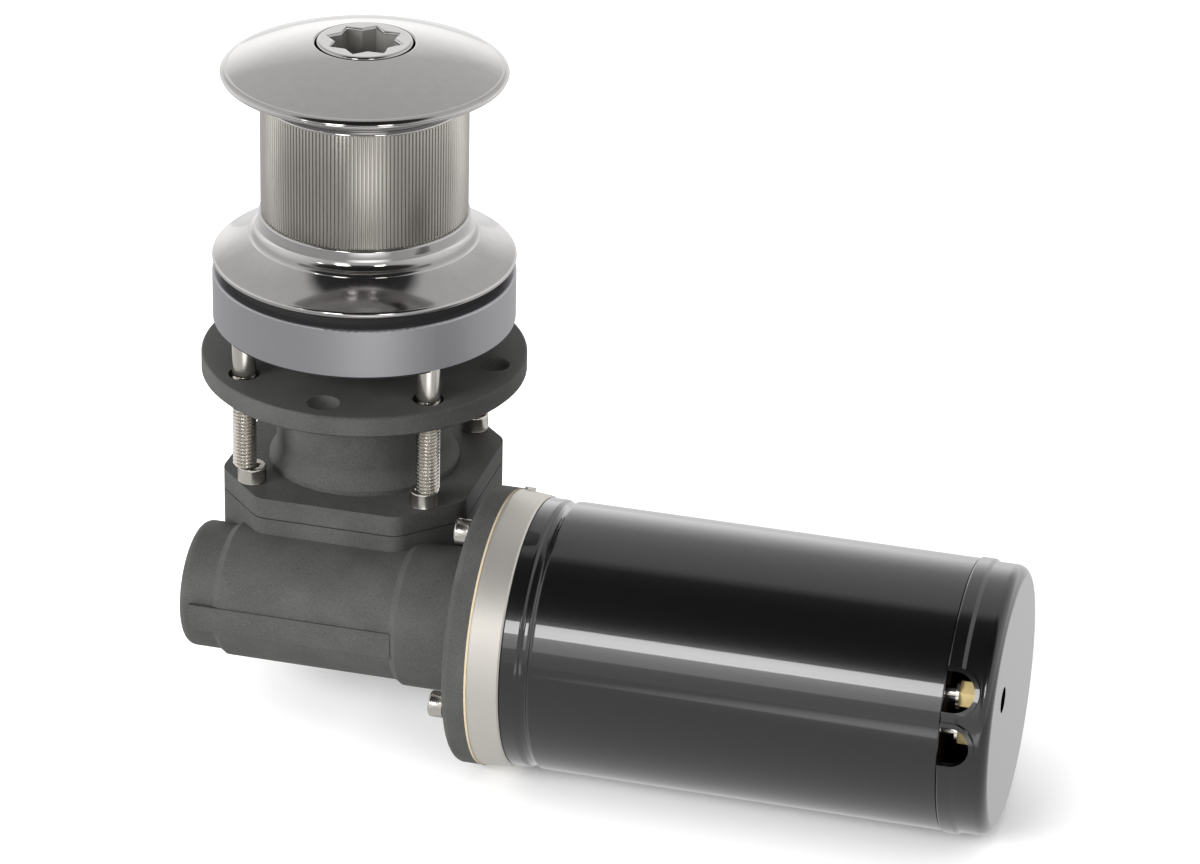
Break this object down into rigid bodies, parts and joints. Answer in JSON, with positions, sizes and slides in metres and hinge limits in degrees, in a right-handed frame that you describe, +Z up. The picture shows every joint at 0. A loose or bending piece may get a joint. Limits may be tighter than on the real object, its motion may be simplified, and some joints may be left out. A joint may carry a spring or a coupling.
{
  "type": "deck capstan",
  "caption": "Vertical rope capstan with a domed ribbed drum above the deck and a worm gearbox with an electric motor below it, joined by studs.",
  "frame": {"origin": "the drum's axis at the deck surface, under the base's gasket", "axes": "+Z up along the drum's axis, +X along the worm and motor towards the motor's end cap"},
  "size_m": [0.2838, 0.1399, 0.23],
  "materials": {
    "polished_steel": "polished, barrel satin between its ribs",
    "satin_steel": "satin turned stainless steel",
    "stainless": "bright stainless steel",
    "dark_casting": "fine sand-cast, dark grey coating",
    "black_gloss": "glossy black coating",
    "satin_aluminium": "satin turned",
    "black_rubber": "matte",
    "tan_gasket": "matte fibre",
    "bearing_steel": "ground",
    "shaft_steel": "ground",
    "bronze": "machined bronze",
    "brass": "bright brass",
    "copper": "lacquered copper",
    "core_steel": "stacked sheets",
    "ferrite": "matte",
    "carbon": "matte carbon",
    "insulation": "laminated sheet"
  },
  "bodies": {
    "root": {"base_ring": "satin_steel", "deck_gasket": "black_rubber", "base_seal_ring": "black_rubber", "base_bush": "bronze", "mounting_studs": "stainless", "gearbox_cover": "dark_casting", "cover_gasket": "black_rubber", "cover_screws": "stainless", "gear_housing": "dark_casting", "upper_bearing_outer": "bearing_steel", "lower_bearing_outer": "bearing_steel", "upper_oil_seal": "black_rubber", "worm_bearing_left_outer": "bearing_steel", "worm_bearing_right_outer": "bearing_steel", "worm_oil_seal": "black_rubber", "motor_screws": "stainless", "motor_gasket": "tan_gasket", "end_bell": "satin_aluminium", "motor_case": "black_gloss", "magnets": "ferrite", "armature_bearing_outer": "bearing_steel", "rear_bearing_outer": "bearing_steel", "brush_plate": "insulation", "brush_holders": "brass", "brushes": "carbon", "terminal_studs": "stainless", "terminal_washers": "stainless", "terminal_nuts": "brass", "end_cap": "black_gloss"},
    "shaft": {"main_shaft": "shaft_steel", "worm_wheel": "bronze", "wheel_key": "shaft_steel", "shaft_spacer": "shaft_steel", "shaft_circlip": "shaft_steel", "upper_bearing_inner": "bearing_steel", "lower_bearing_inner": "bearing_steel", "lower_clutch_cone": "bronze", "upper_clutch_cone": "bronze", "cone_keys": "shaft_steel"},
    "drum": {"drum": "polished_steel"},
    "nut_carrier": {"nut_washer": "stainless"},
    "nut": {"star_nut": "polished_steel"},
    "rotor": {"worm_shaft": "shaft_steel", "shaft_coupling": "shaft_steel", "worm_bearing_left_inner": "bearing_steel", "worm_bearing_right_inner": "bearing_steel", "armature_shaft": "shaft_steel", "armature_core": "core_steel", "armature_windings": "copper", "commutator": "copper", "armature_bearing_inner": "bearing_steel", "rear_bearing_inner": "bearing_steel"}
  },
  "joints": [
    {"name": "shaft_spin", "type": "hinge", "parent": "root", "child": "shaft", "pos_m": [0, 0, 0], "axis": [0, 0, 1], "continuous": true},
    {"name": "drum_free_turn", "type": "hinge", "parent": "shaft", "child": "drum", "pos_m": [0, 0, 0], "axis": [0, 0, 1], "continuous": true},
    {"name": "nut_lift", "type": "slide", "parent": "shaft", "child": "nut_carrier", "axis": [0, 0, 1], "range_m": [0, 0.002]},
    {"name": "nut_turn", "type": "hinge", "parent": "nut_carrier", "child": "nut", "pos_m": [0, 0, 0], "axis": [0, 0, 1], "range_deg": [0, 360]},
    {"name": "rotor_spin", "type": "hinge", "parent": "root", "child": "rotor", "pos_m": [0, -0.04, -0.0868], "axis": [1, 0, 0], "continuous": true}
  ],
  "couplings": [
    {"joint": "rotor_spin", "follows": "shaft_spin", "ratio": -30},
    {"joint": "nut_turn", "follows": "nut_lift", "rad_per_m": 3141.6}
  ]
}
